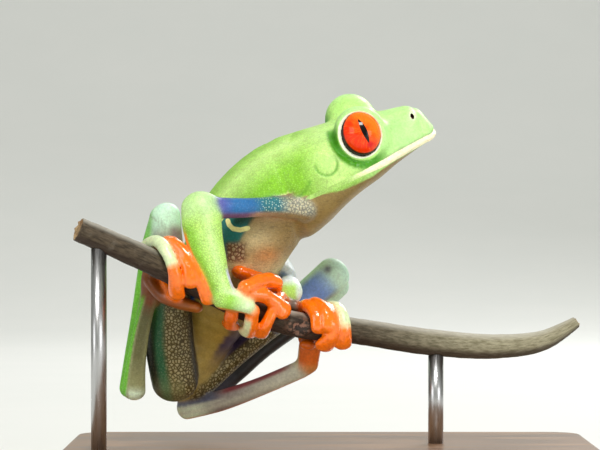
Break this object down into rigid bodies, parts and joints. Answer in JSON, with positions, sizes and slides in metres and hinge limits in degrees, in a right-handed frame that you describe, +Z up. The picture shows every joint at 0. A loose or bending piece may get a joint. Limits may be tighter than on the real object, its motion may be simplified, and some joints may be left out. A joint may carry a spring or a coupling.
{
  "type": "red-eyed tree frog",
  "caption": "Life-size still model of a red-eyed tree frog gripping a short cut branch with orange toes, on a plain flat stand with rods.",
  "frame": {"origin": "centre of the underside of the stand's base", "axes": "+Z up; +X along the base's length, the way the frog faces; +Y to the frog's left"},
  "size_m": [0.076, 0.044, 0.0538],
  "materials": {
    "skin": "moist, finely granular living skin: bright green above, cream belly, blue flanks and thighs, glossy orange digits",
    "eye": "wet glossy ball with a red iris and a narrow upright black pupil",
    "bark": "thin dark grey-brown bark, with a broken pale end",
    "stand_base": "black-stained, satin",
    "stand_rod": "brushed"
  },
  "bodies": {
    "root": {"head": "skin", "left_eye": "eye", "left_finger_1": "skin", "left_finger_2": "skin", "left_finger_3": "skin", "left_finger_4": "skin", "left_foot": "skin", "left_forearm": "skin", "left_hand": "skin", "left_shank": "skin", "left_tarsus": "skin", "left_thigh": "skin", "left_toe_1": "skin", "left_toe_2": "skin", "left_toe_3": "skin", "left_toe_4": "skin", "left_toe_5": "skin", "left_upper_arm": "skin", "lower_jaw": "skin", "perch": "bark", "right_eye": "eye", "right_finger_1": "skin", "right_finger_2": "skin", "right_finger_3": "skin", "right_finger_4": "skin", "right_foot": "skin", "right_forearm": "skin", "right_hand": "skin", "right_shank": "skin", "right_tarsus": "skin", "right_thigh": "skin", "right_toe_1": "skin", "right_toe_2": "skin", "right_toe_3": "skin", "right_toe_4": "skin", "right_toe_5": "skin", "right_upper_arm": "skin", "stand_base": "stand_base", "stand_rod_1": "stand_rod", "stand_rod_2": "stand_rod", "trunk": "skin"}
  },
  "joints": []
}
